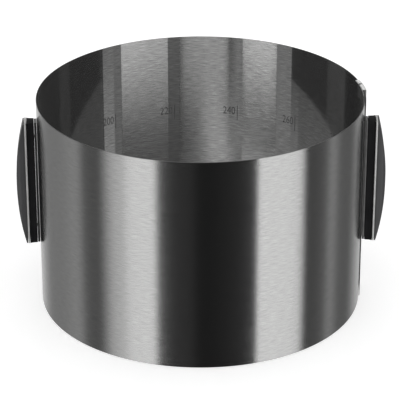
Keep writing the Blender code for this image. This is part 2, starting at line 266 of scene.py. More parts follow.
band_steel = brushed_material("band_steel", colour=(0.60, 0.60, 0.595), metal=1, roughness=0.19,
                              line_length=0.008, line_width=0.00020, line_depth=0.00001,
                              stretch=1.0, uneven=0.12, place="UV")
inner_steel = brushed_material("band_inner_face", colour=(0.60, 0.60, 0.595), metal=1, roughness=0.19,
                               line_length=0.008, line_width=0.00022, line_depth=0.00001,
                               stretch=1.0, uneven=0.34, place="UV")
cut_steel = bpy.data.materials.new("band_cut_edge")
cut_steel.use_nodes = True
cut_nodes = cut_steel.node_tree.nodes
cut_link = cut_steel.node_tree.links.new
cut_shader = cut_nodes["Principled BSDF"]
cut_shader.inputs["Metallic"].default_value = 1
cut_shader.inputs["Base Color"].default_value = (0.20, 0.20, 0.198, 1)
cut_noise = cut_nodes.new("ShaderNodeTexNoise")
cut_noise.inputs["Scale"].default_value = 2500
cut_place = cut_nodes.new("ShaderNodeTexCoord")
cut_range = cut_nodes.new("ShaderNodeMapRange")
cut_range.inputs["To Min"].default_value = 0.25
cut_range.inputs["To Max"].default_value = 0.5
cut_link(cut_place.outputs["Object"], cut_noise.inputs["Vector"])
cut_link(cut_noise.outputs["Fac"], cut_range.inputs["Value"])
cut_link(cut_range.outputs["Result"], cut_shader.inputs["Roughness"])


def band_sheet(name, start, end):
    """One stretch of the strip between two lengths, with its long edges slightly rounded."""
    deselect_all()
    bpy.ops.mesh.primitive_grid_add(x_subdivisions=sheet_spans, y_subdivisions=sheet_rings, size=1)
    sheet = bpy.context.object
    sheet.name = name
    mesh = sheet.data
    mesh.uv_layers[0].name = "unrolled"
    flat = []
    for vertex in mesh.vertices:
        length = start + (end - start) * (vertex.co.x + 0.5)
        height = band_low + (band_top - band_low) * (vertex.co.y + 0.5)
        flat.append((length, height))
        vertex.co = on_band(length, 0, height)
    for loop in mesh.loops:
        mesh.uv_layers[0].data[loop.index].uv = flat[loop.vertex_index]
    mesh.materials.append(band_steel)
    mesh.materials.append(cut_steel)
    mesh.materials.append(inner_steel)
    mesh.flip_normals()
    wall = sheet.modifiers.new("wall", "SOLIDIFY")
    wall.thickness = sheet_thickness
    wall.offset = 0
    wall.use_even_offset = True
    wall.material_offset_rim = rim_slot
    apply_modifiers(sheet)
    mesh = sheet.data
    weights = mesh.attributes.new("bevel_weight_edge", "FLOAT", "EDGE")
    for edge in mesh.edges:
        ends = [mesh.vertices[index].co for index in edge.vertices]
        level = abs(ends[0].z - ends[1].z) < sheet_edge
        at_rim = min(abs(ends[0].z - band_low), abs(ends[0].z - band_top)) < sheet_edge
        along = (ends[0] - ends[1]).length > longest_across_rim
        weights.data[edge.index].value = 1.0 if level and at_rim and along else 0.0
    rounding = sheet.modifiers.new("edges", "BEVEL")
    rounding.width = sheet_edge
    rounding.segments = edge_segments
    rounding.limit_method = "WEIGHT"
    rounding.material = rim_slot
    apply_modifiers(sheet)
    mesh = sheet.data
    for face in mesh.polygons:
        face.use_smooth = True
    normals = [Vector((0, 0, 0))] * len(mesh.loops)
    for face in mesh.polygons:
        if face.material_index == outer_slot:
            side = 1 if face.normal.dot(heading(turn_at((start + end) / 2))) > 0 else -1
            face.material_index = outer_slot if side > 0 else inner_slot
            for loop in face.loop_indices:
                length = mesh.uv_layers[0].data[loop].uv.x
                normals[loop] = heading(turn_at(length)) * side
    mesh.normals_split_custom_set(normals)
    return sheet


# The skins meet at mid-leaf. The strip can't bend where the rails and the clips
# are welded on
stops = [0.0]
stops += [(low + high) / 2 for low, high in zip(hinge_lengths[:-1], hinge_lengths[1:])]
stops.append(strip_length)

for number in range(len(hinge_lengths)):
    start = stops[number]
    end = stops[number + 1]
    sheet = band_sheet("band_%02d" % (number + 1), start, end)
    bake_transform(sheet)
    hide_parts("band_leaf_%02d" % (number + 1))
    if number == len(hinge_lengths) - 1:
        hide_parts("band_leaf_%02d" % (number + 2))


# The scale
# Fine dark marks and numerals, etched in the inner face of the strip. The strip's inner end points at the
# diameter that is set, so each mark lies at the strip's whole length less that circumference.

marked_diameters = [0.160, 0.180, 0.200, 0.220, 0.240, 0.260, 0.280, 0.300]
millimetres = 1000
tick_middle = 0.1215
tick_height = 0.0155
tick_width = 0.0007
tick_spans = 8
numeral_height = 0.0079
numeral_width = 0.0122
numeral_rise = 0.0021
numeral_gap = 0.0022
etch_thickness = 0.00003
reading_edge = 0.0015

etched = bpy.data.materials.new("etched_scale")
etched.use_nodes = True
etched_nodes = etched.node_tree.nodes
etched_link = etched.node_tree.links.new
etched_place = etched_nodes.new("ShaderNodeTexCoord")
etched_wear = etched_nodes.new("ShaderNodeTexNoise")
etched_wear.inputs["Scale"].default_value = 1500
etched_wear.inputs["Detail"].default_value = 3
etched_shader = etched_nodes["Principled BSDF"]
etched_tone = etched_nodes.new("ShaderNodeValToRGB")
etched_tone.color_ramp.elements[0].position = 0.35
etched_tone.color_ramp.elements[0].color = (0.045, 0.045, 0.045, 1)
etched_tone.color_ramp.elements[1].position = 0.75
etched_tone.color_ramp.elements[1].color = (0.16, 0.16, 0.16, 1)
etched_link(etched_place.outputs["Object"], etched_wear.inputs["Vector"])
etched_link(etched_wear.outputs["Fac"], etched_tone.inputs["Fac"])
etched_link(etched_tone.outputs["Color"], etched_shader.inputs["Base Color"])
etched_shader.inputs["Roughness"].default_value = 0.7
etched_shader.inputs["Specular IOR Level"].default_value = 0.2

# Flat first: X is the length along the strip, turned round so that it reads from inside the ring
flat_marks = []
for diameter in marked_diameters:
    mark = strip_length - reading_edge - math.pi * diameter
    deselect_all()
    bpy.ops.mesh.primitive_grid_add(x_subdivisions=1, y_subdivisions=tick_spans, size=1)
    tick = bpy.context.object
    for vertex in tick.data.vertices:
        vertex.co = Vector((mark + vertex.co.x * tick_width, tick_middle + vertex.co.y * tick_height, 0))
    flat_marks.append(tick)
    deselect_all()
    bpy.ops.object.text_add()
    numeral = bpy.context.object
    numeral.data.body = str(round(diameter * millimetres))
    numeral.data.resolution_u = 4
    bpy.ops.object.convert(target="MESH")
    numeral = bpy.context.object
    corners = [vertex.co for vertex in numeral.data.vertices]
    low_x = min(corner.x for corner in corners)
    high_x = max(corner.x for corner in corners)
    low_y = min(corner.y for corner in corners)
    high_y = max(corner.y for corner in corners)
    for vertex in numeral.data.vertices:
        across = (high_x - vertex.co.x) / (high_x - low_x) * numeral_width
        rise = ((vertex.co.y - low_y) / (high_y - low_y) - 0.5) * numeral_height
        vertex.co = Vector((mark + numeral_gap + across, tick_middle + numeral_rise + rise, 0))
    flat_marks.append(numeral)

deselect_all()
for thing in flat_marks:
    thing.select_set(True)
bpy.context.view_layer.objects.active = flat_marks[0]
bpy.ops.object.join()
flat_scale = bpy.context.object
scale_start = min(vertex.co.x for vertex in flat_scale.data.vertices)
scale_end = max(vertex.co.x for vertex in flat_scale.data.vertices)

# Then cut where the band's own sheets meet, bent to the coil and laid on the inner face
for number in range(len(hinge_lengths)):
    if stops[number + 1] < scale_start or stops[number] > scale_end:
        continue
    marks = bpy.data.objects.new("scale_%02d" % (number + 1), flat_scale.data.copy())
    bpy.context.scene.collection.objects.link(marks)
    deselect_all()
    marks.select_set(True)
    bpy.context.view_layer.objects.active = marks
    bpy.ops.object.mode_set(mode="EDIT")
    for stop, side in ((stops[number], -1), (stops[number + 1], 1)):
        bpy.ops.mesh.select_all(action="SELECT")
        bpy.ops.mesh.bisect(plane_co=(stop, 0, 0), plane_no=(side, 0, 0), clear_outer=True)
    bpy.ops.object.mode_set(mode="OBJECT")
    if not marks.data.polygons:
        bpy.data.objects.remove(marks)
        continue
    inside = -sheet_thickness / 2 - etch_thickness
    for vertex in marks.data.vertices:
        vertex.co = on_band(vertex.co.x, inside, vertex.co.y)
    marks.data.materials.clear()
    marks.data.materials.append(etched)
    print_wall = marks.modifiers.new("wall", "SOLIDIFY")
    print_wall.thickness = etch_thickness
    apply_modifiers(marks)
    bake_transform(marks)
bpy.data.objects.remove(flat_scale)


# The guide clips
# Two folded strips of bright sheet, spot-welded inside the strip's inner end. Each has a plate that lies
# against the outer layer and two fingers that hook over its edge, so the layers slide without parting.

clip_sheet = 0.0004
clip_slot = 0.0034
clip_radius = 0.1150
clip_reach = 0.0245
clip_weld_length = 0.0140
clip_tangent_back = 0.0040
clip_plate_height = 0.0120
clip_lip_height = 0.0108
clip_bend = 0.0006
clip_first_finger = 0.0087
clip_finger_gap = 0.0028
clip_edge = 0.00010
seat_gap = 0.0003
clip_columns = 10
gap_columns = 2
clip_rows = 6
fold_rows = 6
clip_edge_segments = 2
fold_slot = 0
plate_slot = 1
bevel_angle = math.radians(40)
smooth_angle = math.radians(35)

clip_steel = brushed_material("clip_steel", colour=(0.80, 0.80, 0.79), metal=0.6, roughness=0.34,
                              line_length=0.006, line_width=0.00022, line_depth=0.00001,
                              stretch=0.3, uneven=0.15, place="UV")

clip_turn = turn_at(strip_length - clip_tangent_back)
clip_centre = coil_point(clip_turn) + centring
clip_centre -= heading(clip_turn) * (sheet_thickness / 2 + seat_gap + clip_radius)


def steps_between(low, high, count):
    """Even steps from low, the last of them one step short of high."""
    return [low + (high - low) * step / count for step in range(count)]


def edit_chosen(thing, kind, chosen):
    """Enters edit mode with only the chosen edges or faces selected."""
    deselect_all()
    thing.select_set(True)
    bpy.context.view_layer.objects.active = thing
    bpy.ops.object.mode_set(mode="EDIT")
    bpy.ops.mesh.select_mode(type=kind)
    bpy.ops.mesh.select_all(action="DESELECT")
    bpy.ops.object.mode_set(mode="OBJECT")
    for element in (thing.data.edges if kind == "EDGE" else thing.data.polygons):
        element.select = chosen(element)
    bpy.ops.object.mode_set(mode="EDIT")


def round_edges(thing, width, segments):
    """Takes the sharp edges off and leaves the rest smooth."""
    bevel = thing.modifiers.new("edges", "BEVEL")
    bevel.width = width
    bevel.segments = segments
    bevel.limit_method = "ANGLE"
    bevel.angle_limit = bevel_angle
    apply_modifiers(thing)
    deselect_all()
    thing.select_set(True)
    bpy.context.view_layer.objects.active = thing
    bpy.ops.object.shade_smooth_by_angle(angle=smooth_angle)


def guide_clip(name, up, edge):
    """The folded strip as a bent sheet: columns along the ring, rows up the plate and down the lip."""
    clip_start = clip_tangent_back - clip_weld_length
    clip_end = clip_tangent_back + clip_reach
    first_finger = clip_end - clip_first_finger
    first_gap = first_finger - clip_finger_gap
    columns = steps_between(clip_start, clip_tangent_back, clip_columns)
    columns += steps_between(clip_tangent_back, first_gap, clip_columns)
    columns += steps_between(first_gap, first_finger, gap_columns)
    columns += steps_between(first_finger, clip_end, clip_columns)
    columns.append(clip_end)
    plate = clip_radius - clip_sheet / 2
    lip = clip_radius + clip_slot + clip_sheet / 2
    bend_height = seat_gap + clip_sheet / 2 - clip_bend
    rows = [(plate, height) for height in steps_between(-clip_plate_height, bend_height, clip_rows)]
    for bend_middle, first in ((plate + clip_bend, math.pi), (lip - clip_bend, math.pi / 2)):
        for step in range(fold_rows + 1):
            angle = first - math.pi / 2 * step / fold_rows
            rows.append((bend_middle + clip_bend * math.cos(angle),
                         bend_height + clip_bend * math.sin(angle)))
    rows += [(lip, height) for height in steps_between(bend_height, -clip_lip_height, clip_rows)[1:]]
    rows.append((lip, -clip_lip_height))

    deselect_all()
    bpy.ops.mesh.primitive_grid_add(x_subdivisions=len(columns) - 1, y_subdivisions=len(rows) - 1, size=1)
    clip = bpy.context.object
    clip.name = name
    mesh = clip.data
    mesh.uv_layers[0].name = "unrolled"
    mesh.materials.append(clip_steel)
    mesh.materials.append(inner_steel)
    unrolled = []
    on_plate = set()
    cut_away = set()
    for vertex in mesh.vertices:
        column = round((vertex.co.x + 0.5) * (len(columns) - 1))
        row = round((vertex.co.y + 0.5) * (len(rows) - 1))
        place = columns[column]
        radius, height = rows[row]
        unrolled.append((place, row * clip_plate_height / clip_rows))
        on_weld = place < clip_tangent_back
        in_gap = first_gap < place < first_finger
        if row <= clip_rows:
            on_plate.add(vertex.index)
        elif on_weld or in_gap:
            cut_away.add(vertex.index)
        way = tip_angle + clip_turn + place / clip_radius
        vertex.co = clip_centre + Vector((math.cos(way), math.sin(way), 0)) * radius
        vertex.co.z = edge + up * height
    for loop in mesh.loops:
        mesh.uv_layers[0].data[loop.index].uv = unrolled[loop.vertex_index]
    for face in mesh.polygons:
        face.material_index = plate_slot if all(index in on_plate for index in face.vertices) else fold_slot
    edit_chosen(clip, "FACE", lambda face: any(index in cut_away for index in face.vertices))
    bpy.ops.mesh.delete(type="FACE")
    bpy.ops.object.mode_set(mode="OBJECT")
    sheet = clip.modifiers.new("sheet", "SOLIDIFY")
    sheet.thickness = clip_sheet
    sheet.offset = 0
    sheet.use_even_offset = True
    apply_modifiers(clip)
    deselect_all()
    clip.select_set(True)
    bpy.ops.object.mode_set(mode="EDIT")
    bpy.ops.mesh.select_all(action="SELECT")
    bpy.ops.mesh.normals_make_consistent(inside=False)
    bpy.ops.object.mode_set(mode="OBJECT")
    round_edges(clip, clip_edge, clip_edge_segments)
    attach(clip, "leaf_32")
    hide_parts(name[:-len("_folded")])


guide_clip("top_guide_clip_folded", 1, band_top)
guide_clip("bottom_guide_clip_folded", -1, band_low)


# The rails
# A drawn steel strip behind each grip, 2 mm thick, hollow on its inner side to lie round the band and
# spot-welded to it. The grip's screws end in it.

core_depth = 0.0068
core_neck_width = 0.0125
core_face_width = 0.0165
rail_thickness = 0.0020
rail_side_inset = 0.0005
rail_width = core_neck_width - 2 * rail_side_inset
rail_edge = 0.0003
rail_slices = 10
hole_sides = 32
screw_spacing = 0.0900
screw_shank_radius = 0.0015
grip_low, grip_high = (corner.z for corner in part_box("right_grip_core"))
rail_low, rail_high = (corner.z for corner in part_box("right_rail"))
grip_middle = (grip_low + grip_high) / 2
grip_lengths = {"right": tip_to_grip, "left": left_grip_length}
grip_bodies = {"right": "leaf_01", "left": "leaf_17"}


def block(name, near, far, width, low, high):
    """A block of the grip in its own frame: X out from the band, Y along the strip, Z up."""
    deselect_all()
    bpy.ops.mesh.primitive_cube_add(size=1)
    thing = bpy.context.object
    thing.name = name
    for vertex in thing.data.vertices:
        vertex.co = Vector((near + (far - near) * (vertex.co.x + 0.5), vertex.co.y * width,
                            low + (high - low) * (vertex.co.z + 0.5)))
    return thing


def slice_block(thing, normal, places):
    """Cuts the block's faces by parallel planes, which leaves it closed."""
    deselect_all()
    thing.select_set(True)
    bpy.context.view_layer.objects.active = thing
    bpy.ops.object.mode_set(mode="EDIT")
    for place in places:
        bpy.ops.mesh.select_all(action="SELECT")
        bpy.ops.mesh.bisect(plane_co=Vector(normal) * place, plane_no=normal)
    bpy.ops.object.mode_set(mode="OBJECT")


def drill(thing, radius, start, end, spacing, operation="DIFFERENCE"):
    """A pair of round holes, or pegs, along X, above and below the grip's middle."""
    for side in (-1, 1):
        deselect_all()
        middle = ((start + end) / 2, 0, grip_middle + side * spacing / 2)
        bpy.ops.mesh.primitive_cylinder_add(vertices=hole_sides, radius=radius, depth=end - start,
                                            location=middle, rotation=(0, math.pi / 2, 0))
        tool = bpy.context.object
        cut = thing.modifiers.new("hole", "BOOLEAN")
        cut.solver = "EXACT"
        cut.operation = operation
        cut.object = tool
        apply_modifiers(thing)
        bpy.data.objects.remove(tool)


def fit_to_both_grips(thing, part):
    """Copies the finished piece on to each grip, each copy with its own mesh."""
    for side, length in grip_lengths.items():
        piece = bpy.data.objects.new("%s_%s" % (side, thing.name), thing.data.copy())
        bpy.context.scene.collection.objects.link(piece)
        place = Matrix.Translation(on_band(length, sheet_thickness / 2))
        piece.data.transform(place @ Matrix.Rotation(tip_angle + turn_at(length), 4, "Z"))
        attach(piece, grip_bodies[side])
        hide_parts("%s_%s" % (side, part))
    bpy.data.objects.remove(thing)


rail_steel = brushed_material("rail_steel", colour=(0.17, 0.17, 0.17), metal=1, roughness=0.38,
                              line_length=0.010, line_width=0.00025, line_depth=0.00002,
                              stretch=0.4, uneven=0.3, place="Z")

rail = block("rail_strip", seat_gap, seat_gap + rail_thickness, rail_width, rail_low, rail_high)
slice_block(rail, (0, 1, 0), steps_between(-rail_width / 2, rail_width / 2, rail_slices)[1:])
back_radius = first_radius + sheet_thickness / 2 + seat_gap
for vertex in rail.data.vertices:
    if vertex.co.x < seat_gap + rail_thickness / 2:
        vertex.co.x -= back_radius - math.sqrt(back_radius ** 2 - vertex.co.y ** 2)
rail.data.materials.append(rail_steel)
round_edges(rail, rail_edge, edge_segments)
drill(rail, screw_shank_radius + seat_gap, -seat_gap - rail_thickness, 2 * rail_thickness, screw_spacing)
fit_to_both_grips(rail, "rail")


# The screws
# Two pan-head screws in each grip, of plain steel, from the core into the rail under the trim plate.
# Their turned solids stay as they are and take a finish with fine turning lines.

screw_steel = brushed_material("screw_steel", colour=(0.50, 0.50, 0.50), metal=1, roughness=0.28,
                               line_length=0.002, line_width=0.00012, line_depth=0.00001,
                               stretch=0.3, uneven=0.2, place="Z")
for side in grip_lengths:
    for level in ("upper", "lower"):
        screw_mesh = frame["nodes"]["%s_%s_screw" % (side, level)].data
        screw_mesh.materials.clear()
        screw_mesh.materials.append(screw_steel)


# The grip cores
# A black moulded block on each rail, with hollow flanks from its narrow neck out to the trim plate.
# It is screwed to the rail from outside, and the cap's pegs stand in it.

core_foot = seat_gap + rail_thickness + seat_gap
core_face = core_foot + core_depth
core_edge = 0.0004
core_slices = 12
peg_radius = 0.0022
peg_length = 0.0060
peg_spacing = 0.0360
screw_head_radius = 0.0029
screw_head_height = 0.0018


def pebbled_skin():
    """The skin of moulded plastic: fine pebbles for the bump, and broad patches where hands have rubbed it."""
    group = bpy.data.node_groups.new("pebbled_skin", "ShaderNodeTree")
    face = group.interface
    face.new_socket("Place", in_out="INPUT", socket_type="NodeSocketVector")
    face.new_socket("Pebble scale", in_out="INPUT", socket_type="NodeSocketFloat")
    face.new_socket("Pebbles", in_out="OUTPUT", socket_type="NodeSocketFloat")
    face.new_socket("Rubbed", in_out="OUTPUT", socket_type="NodeSocketFloat")
    nodes = group.nodes
    link = group.links.new
    given = nodes.new("NodeGroupInput")
    made = nodes.new("NodeGroupOutput")
    pebbles = nodes.new("ShaderNodeTexNoise")
    pebbles.inputs["Detail"].default_value = 2
    link(given.outputs["Place"], pebbles.inputs["Vector"])
    link(given.outputs["Pebble scale"], pebbles.inputs["Scale"])
    link(pebbles.outputs["Fac"], made.inputs["Pebbles"])
    rubbed = nodes.new("ShaderNodeTexNoise")
    rubbed.inputs["Scale"].default_value = 60
    rubbed.inputs["Detail"].default_value = 4
    link(given.outputs["Place"], rubbed.inputs["Vector"])
    link(rubbed.outputs["Fac"], made.inputs["Rubbed"])
    return group


skin_group = pebbled_skin()


def moulded_plastic(name, colour, worn_colour, roughness, gloss, pebble_size, pebble_depth):
    """Dyed moulded plastic with a pebbled skin, paler where it is rubbed."""
    material = bpy.data.materials.new(name)
    material.use_nodes = True
    nodes = material.node_tree.nodes
    link = material.node_tree.links.new
    shader = nodes["Principled BSDF"]
    shader.inputs["Specular IOR Level"].default_value = gloss
    place = nodes.new("ShaderNodeTexCoord")
    skin = nodes.new("ShaderNodeGroup")
    skin.node_tree = skin_group
    skin.inputs["Pebble scale"].default_value = 1 / pebble_size
    link(place.outputs["Object"], skin.inputs["Place"])
    tone = nodes.new("ShaderNodeValToRGB")
    tone.color_ramp.elements[0].position = 0.35
    tone.color_ramp.elements[0].color = (*colour, 1)
    tone.color_ramp.elements[1].position = 0.80
    tone.color_ramp.elements[1].color = (*worn_colour, 1)
    link(skin.outputs["Rubbed"], tone.inputs["Fac"])
    link(tone.outputs["Color"], shader.inputs["Base Color"])
    rough = nodes.new("ShaderNodeMapRange")
    rough.inputs["To Min"].default_value = roughness * 0.85
    rough.inputs["To Max"].default_value = roughness * 1.15
    link(skin.outputs["Rubbed"], rough.inputs["Value"])
    link(rough.outputs["Result"], shader.inputs["Roughness"])
    bump = nodes.new("ShaderNodeBump")
    bump.inputs["Strength"].default_value = 0.6
    bump.inputs["Distance"].default_value = pebble_depth
    link(skin.outputs["Pebbles"], bump.inputs["Height"])
    link(bump.outputs["Normal"], shader.inputs["Normal"])
    return material


core_plastic = moulded_plastic("core_plastic", colour=(0.009, 0.009, 0.010), worn_colour=(0.016, 0.016, 0.017),
                               roughness=0.60, gloss=0.10, pebble_size=0.0008, pebble_depth=0.00004)

core = block("grip_block", core_foot, core_face, core_neck_width, grip_low, grip_high)
slice_block(core, (1, 0, 0), [core_foot + core_depth * math.sin(math.pi / 2 * step / core_slices)
                              for step in range(1, core_slices)])
for vertex in core.data.vertices:
    out = min(1.0, max(0.0, (vertex.co.x - core_foot) / core_depth))
    half = core_neck_width / 2 + (core_face_width - core_neck_width) / 2 * (1 - math.sqrt(1 - out ** 2))
    vertex.co.y = math.copysign(half, vertex.co.y)
core.data.materials.append(core_plastic)
round_edges(core, core_edge, edge_segments)
head_foot = core_face - seat_gap - screw_head_height
drill(core, screw_shank_radius + seat_gap, 0, core_face + seat_gap, screw_spacing)
drill(core, screw_head_radius + seat_gap, head_foot - seat_gap, core_face + seat_gap, screw_spacing)


# The trim plates
# A satin bright steel plate with round corners, clamped between core and cap: its edge shows past both.

trim_thickness = 0.0016
trim_foot = core_face + seat_gap
trim_face = trim_foot + trim_thickness
trim_side_overhang = 0.0006
trim_width = core_face_width + 2 * trim_side_overhang
trim_corner = 0.0025
trim_corner_segments = 8
trim_edge = 0.0003
trim_low, trim_high = (corner.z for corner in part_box("right_trim_plate"))

trim_steel = brushed_material("trim_steel", colour=(0.60, 0.60, 0.59), metal=0.35, roughness=0.42,
                              line_length=0.009, line_width=0.00020, line_depth=0.00001,
                              stretch=0.3, uneven=0.15, place="Z")


def edge_span(thing, edge):
    """The vector from one end of an edge to the other."""
    first, second = (thing.data.vertices[index].co for index in edge.vertices)
    return second - first


# The cores take the holes for the caps' pegs, whose depth follows from the trim plate
cap_foot = trim_face + seat_gap
peg_start = cap_foot - peg_length
drill(core, peg_radius + seat_gap, peg_start - seat_gap, core_face + seat_gap, peg_spacing)
fit_to_both_grips(core, "grip_core")

trim = block("bright_plate", trim_foot, trim_face, trim_width, trim_low, trim_high)
edit_chosen(trim, "EDGE", lambda edge: abs(edge_span(trim, edge).x) > trim_thickness / 2)
bpy.ops.mesh.bevel(offset=trim_corner, segments=trim_corner_segments, affect="EDGES")
bpy.ops.object.mode_set(mode="OBJECT")
trim.data.materials.append(trim_steel)
round_edges(trim, trim_edge, edge_segments)
drill(trim, peg_radius + seat_gap, 0, 2 * cap_foot, peg_spacing)
fit_to_both_grips(trim, "trim_plate")


# The caps
# The bowed outer part that the palm lies on: dark grey satin plastic, arched from end to end, with
# round shoulders along both sides and two pegs that press into the core through the trim plate.

cap_end_inset = 0.0010
cap_side_inset = 0.0004
cap_width = trim_width - 2 * cap_side_inset
cap_bow = 0.0086
cap_end_thickness = 0.0010
cap_shoulder = 0.0045
cap_shoulder_segments = 10
cap_edge = 0.00025
cap_low = trim_low + cap_end_inset
cap_high = trim_high - cap_end_inset
cap_slices = 48

cap_plastic = moulded_plastic("cap_plastic", colour=(0.048, 0.048, 0.050), worn_colour=(0.060, 0.060, 0.062),
                              roughness=0.42, gloss=0.35, pebble_size=0.0006, pebble_depth=0.00003)


def on_cap_face(edge):
    """Whether an edge of the cap lies on its outer face."""
    return min(cap.data.vertices[index].co.x for index in edge.vertices) > cap_foot + cap_bow / 2


cap = block("bowed_cap", cap_foot, cap_foot + cap_bow, cap_width, cap_low, cap_high)
edit_chosen(cap, "EDGE", lambda edge: abs(edge_span(cap, edge).z) > cap_width and on_cap_face(edge))
bpy.ops.mesh.bevel(offset=cap_shoulder, segments=cap_shoulder_segments, affect="EDGES")
bpy.ops.object.mode_set(mode="OBJECT")
arch = block("arch", cap_foot, cap_foot + cap_bow, 2 * cap_width, cap_low, cap_high)
slice_block(arch, (0, 0, 1), steps_between(cap_low, cap_high, cap_slices)[1:])
half_length = (cap_high - cap_low) / 2
arch_rise = cap_bow - cap_end_thickness
arch_radius = (half_length ** 2 + arch_rise ** 2) / (2 * arch_rise)
for vertex in arch.data.vertices:
    if vertex.co.x > cap_foot + cap_bow / 2:
        along = vertex.co.z - (cap_low + cap_high) / 2
        vertex.co.x = cap_foot + cap_bow - arch_radius + math.sqrt(arch_radius ** 2 - along ** 2)
arched = cap.modifiers.new("arch", "BOOLEAN")
arched.solver = "EXACT"
arched.operation = "INTERSECT"
arched.object = arch
apply_modifiers(cap)
bpy.data.objects.remove(arch)
cap.data.materials.append(cap_plastic)
round_edges(cap, cap_edge, edge_segments)
drill(cap, peg_radius, peg_start, cap_foot + cap_end_thickness, peg_spacing, "UNION")
fit_to_both_grips(cap, "grip_cap")


# The table
# A plain white sheet that the ring stands on. It isn't part of the ring.

table_size = 6

deselect_all()
bpy.ops.mesh.primitive_plane_add(size=table_size, location=(0, 0, 0))
table = bpy.context.object
table.name = "table"
table_white = bpy.data.materials.new("table_white")
table_white.use_nodes = True
table_shader = table_white.node_tree.nodes["Principled BSDF"]
table_shader.inputs["Base Color"].default_value = (0.8, 0.8, 0.8, 1)
table_shader.inputs["Roughness"].default_value = 0.9
table_shader.inputs["Emission Color"].default_value = (1, 1, 1, 1)
table_shader.inputs["Emission Strength"].default_value = 0.45
table.data.materials.append(table_white)
table.visible_glossy = False


# The studio
# Light and dark all round, a soft box on the right and grey cards that stand on the table inside the ring.
# Only reflections see them, because brushed steel shows little but its surroundings.

# Degrees round from the camera's side and the level there, below the horizon and above it
low_by_azimuth = [
    (-180, 1.0),
    (-165, 0.80),
    (-146, 0.42),
    (-136, 0.24),
    (-114, 0.26),
    (-98, 0.34),
    (-93, 0.30),
    (-89, 0.10),
    (-74, 0.10),
    (-68, 0.44),
    (-62, 0.645),
    (-54, 0.65),
    (-51.5, 0.87),
    (-31.6, 0.87),
    (-29.8, 0.08),
    (-18, 0.035),
    (-7, 0.031),
    (-3, 0.016),
    (1, 0.010),
    (8, 0.010),
    (26, 0.021),
    (33, 0.03),
    (78, 0.03),
    (80, 0.07),
    (98, 0.095),
    (103, 0.34),
    (107, 0.34),
    (113, 0.145),
    (132, 0.11),
    (141, 0.32),
    (153, 0.55),
    (180, 0.75),
]
high_by_azimuth = [
    (-180, 0.12),
    (-173, 0.10),
    (-166, 0.002),
    (-67, 0.003),
    (-65, 0.03),
    (-54, 0.06),
    (-51.5, 0.25),
    (-28.6, 0.25),
    (-27.6, 0.003),
    (-18, 0.001),
    (90, 0.002),
    (166, 0.002),
    (173, 0.10),
    (180, 0.12),
]
high_gain = 9.0
plain_light = 0.9
horizon_blend = 0.1

world = bpy.data.worlds.new("studio")
bpy.context.scene.world = world
world.use_nodes = True
studio_nodes = world.node_tree.nodes
studio_link = world.node_tree.links.new
direction = studio_nodes.new("ShaderNodeTexCoord")
parts = studio_nodes.new("ShaderNodeSeparateXYZ")
studio_link(direction.outputs["Generated"], parts.inputs["Vector"])
backwards = studio_nodes.new("ShaderNodeMath")
backwards.operation = "MULTIPLY"
backwards.inputs[1].default_value = -1
studio_link(parts.outputs["Y"], backwards.inputs[0])
azimuth = studio_nodes.new("ShaderNodeMath")
azimuth.operation = "ARCTAN2"
studio_link(parts.outputs["X"], azimuth.inputs[0])
studio_link(backwards.outputs["Value"], azimuth.inputs[1])
share = studio_nodes.new("ShaderNodeMapRange")
share.inputs["From Min"].default_value = -math.pi
share.inputs["From Max"].default_value = math.pi
studio_link(azimuth.outputs["Value"], share.inputs["Value"])


def fill_ramp(ramp, levels):
    """Sets a colour ramp's stops from (place, grey level), of which the first and last are its two ends."""
    for index, (place, level) in enumerate(levels):
        if index in (0, len(levels) - 1):
            stop = ramp.color_ramp.elements[0 if index == 0 else -1]
            stop.position = place
        else:
            stop = ramp.color_ramp.elements.new(place)
        stop.color = (level, level, level, 1)


def light_round_studio(by_azimuth):
    """A colour ramp that goes once round the studio."""
    ramp = studio_nodes.new("ShaderNodeValToRGB")
    fill_ramp(ramp, [((degrees + 180) / 360, level) for degrees, level in by_azimuth])
    studio_link(share.outputs["Result"], ramp.inputs["Fac"])
    return ramp


low_light = light_round_studio(low_by_azimuth)
high_light = light_round_studio(high_by_azimuth)
rise = studio_nodes.new("ShaderNodeMapRange")
rise.inputs["From Min"].default_value = -horizon_blend
rise.inputs["From Max"].default_value = horizon_blend
studio_link(parts.outputs["Z"], rise.inputs["Value"])
surroundings = studio_nodes.new("ShaderNodeMix")
surroundings.data_type = "RGBA"
studio_link(rise.outputs["Result"], surroundings.inputs["Factor"])
studio_link(low_light.outputs["Color"], surroundings.inputs["A"])
gained = studio_nodes.new("ShaderNodeVectorMath")
gained.operation = "SCALE"
gained.inputs["Scale"].default_value = high_gain
studio_link(high_light.outputs["Color"], gained.inputs[0])
studio_link(gained.outputs["Vector"], surroundings.inputs["B"])
rays = studio_nodes.new("ShaderNodeLightPath")
plain = studio_nodes.new("ShaderNodeMix")
plain.data_type = "RGBA"
plain.inputs["A"].default_value = (plain_light, plain_light, plain_light, 1)
studio_link(rays.outputs["Is Glossy Ray"], plain.inputs["Factor"])
studio_link(surroundings.outputs["Result"], plain.inputs["B"])
seen = studio_nodes.new("ShaderNodeMix")
seen.data_type = "RGBA"
seen.inputs["B"].default_value = (1, 1, 1, 1)
studio_link(rays.outputs["Is Camera Ray"], seen.inputs["Factor"])
studio_link(plain.outputs["Result"], seen.inputs["A"])
studio_link(seen.outputs["Result"], studio_nodes["Background"].inputs["Color"])
studio_nodes["Background"].inputs["Strength"].default_value = 1


def only_in_reflections(card, glow):
    """Makes a sheet glow, and hides it from all but the rays that the steel mirrors."""
    card.data.materials.append(glow)
    card.visible_camera = False
    card.visible_diffuse = False
    card.visible_shadow = False


